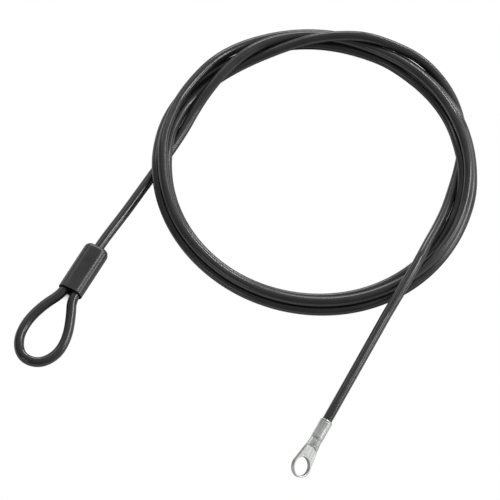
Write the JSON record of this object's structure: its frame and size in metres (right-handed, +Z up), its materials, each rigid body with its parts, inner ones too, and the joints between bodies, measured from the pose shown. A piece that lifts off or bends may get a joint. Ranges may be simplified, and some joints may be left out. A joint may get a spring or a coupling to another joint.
{
  "type": "cable lock",
  "caption": "Plastic-covered steel lock cable laid in loose loops, with a moulded-over eye at one end and a crimped eyelet lug at the other.",
  "frame": {"origin": "the middle of the part's footprint, on the flat surface that it lies on", "axes": "+Z up from that surface; +Y runs away from the end with the eyelet lug; +X to the right of someone who has that end nearest"},
  "size_m": [0.2754, 0.3038, 0.0214],
  "materials": {
    "cable_cover": "satin",
    "moulding": "satin",
    "plated_lug": "bright",
    "rope": "wire",
    "ferrule": "pressed"
  },
  "bodies": {
    "root": {"cable_coil": "cable_cover", "cable_run_to_eye": "cable_cover", "cable_run_to_lug": "cable_cover", "eye_loop": "cable_cover", "rope_through_ferrule": "rope", "rope_end_in_ferrule": "rope", "crimp_ferrule": "ferrule", "sleeve_cover": "moulding", "eyelet_lug": "plated_lug"}
  },
  "joints": []
}
